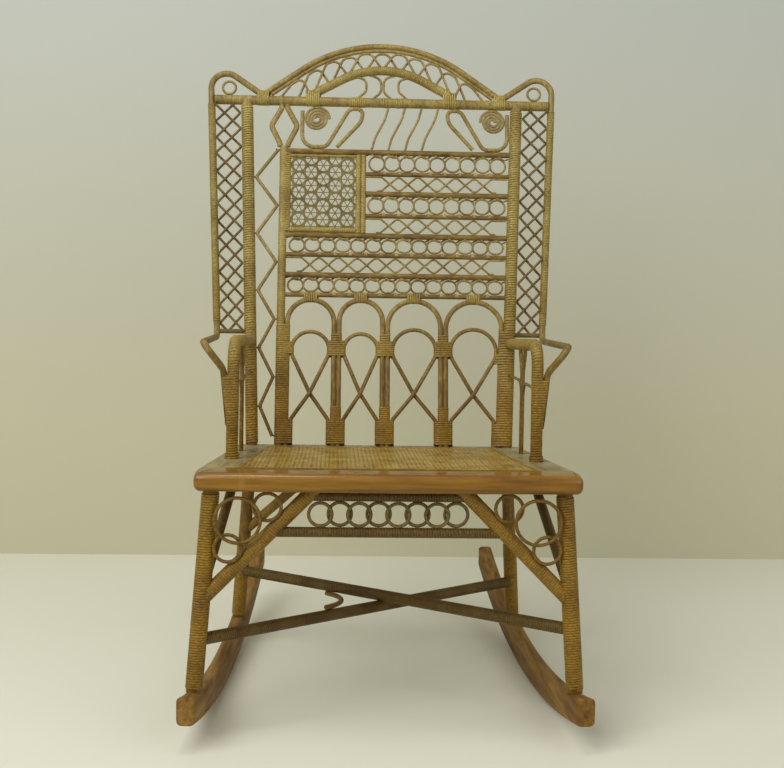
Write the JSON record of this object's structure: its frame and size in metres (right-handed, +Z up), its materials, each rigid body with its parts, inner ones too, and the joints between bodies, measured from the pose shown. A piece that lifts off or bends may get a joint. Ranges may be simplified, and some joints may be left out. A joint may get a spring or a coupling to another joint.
{
  "type": "rocking chair",
  "caption": "Wicker rocking chair on curved rockers, with a caned wooden seat, low arms and a tall reed back of looped and crossed bands under an arched crest.",
  "frame": {"origin": "on the floor under the middle of the rockers, between left and right", "axes": "+Z up, -Y the way the sitter faces, +X to the right as seen from the front"},
  "size_m": [0.627, 0.8216, 1.0805],
  "materials": {
    "rocker_wood": "worn varnish",
    "dowel_wood": "bare",
    "seat_wood": "old varnish, worn on the side rails",
    "woven_cane": "dry cane weave",
    "reed_spline": "stained",
    "wound_cane": "wound cane, old varnish",
    "rattan_pole": "old varnish",
    "round_reed": "old varnish",
    "star_cane": "dry cane weave"
  },
  "bodies": {
    "root": {"apron_rail": "wound_cane", "apron_rings": "round_reed", "apron_top_rail": "wound_cane", "arcade_arches": "round_reed", "arcade_ribbons": "round_reed", "arm_left": "wound_cane", "arm_right": "wound_cane", "arm_spindle_left": "round_reed", "arm_spindle_right": "round_reed", "arm_ties": "round_reed", "back_post_left": "rattan_pole", "back_post_right": "rattan_pole", "cane_spline": "reed_spline", "canton_caning": "star_cane", "canton_frame": "round_reed", "corner_rings": "round_reed", "crest_arch": "wound_cane", "crest_bow": "round_reed", "crest_curls": "round_reed", "crest_lattice": "round_reed", "diamond_rods": "round_reed", "ear_rings": "round_reed", "front_brace_left": "wound_cane", "front_brace_right": "wound_cane", "front_leg_left": "rattan_pole", "front_leg_right": "rattan_pole", "leg_wraps": "wound_cane", "loop_rows": "round_reed", "panel_rails": "round_reed", "panel_stile": "round_reed", "post_wraps": "wound_cane", "rear_brace_pair": "wound_cane", "rear_leg_left": "rattan_pole", "rear_leg_right": "rattan_pole", "rocker_left": "rocker_wood", "rocker_pins": "dowel_wood", "rocker_right": "rocker_wood", "scroll_coils": "round_reed", "scroll_rods": "round_reed", "seat_cane": "woven_cane", "seat_dowels": "dowel_wood", "seat_front_rail": "seat_wood", "seat_left_rail": "seat_wood", "seat_rear_rail": "seat_wood", "seat_right_rail": "seat_wood", "side_brace_pair": "wound_cane", "slanted_strands": "round_reed", "stile_bindings": "wound_cane", "stretcher_bow": "round_reed", "stretcher_lower": "wound_cane", "stretcher_upper": "wound_cane", "top_rail": "rattan_pole", "wave_rows": "round_reed", "wing_lattice_left": "round_reed", "wing_lattice_right": "round_reed", "wing_rod_left": "rattan_pole", "wing_rod_right": "rattan_pole", "zigzag_rod": "round_reed"}
  },
  "joints": []
}
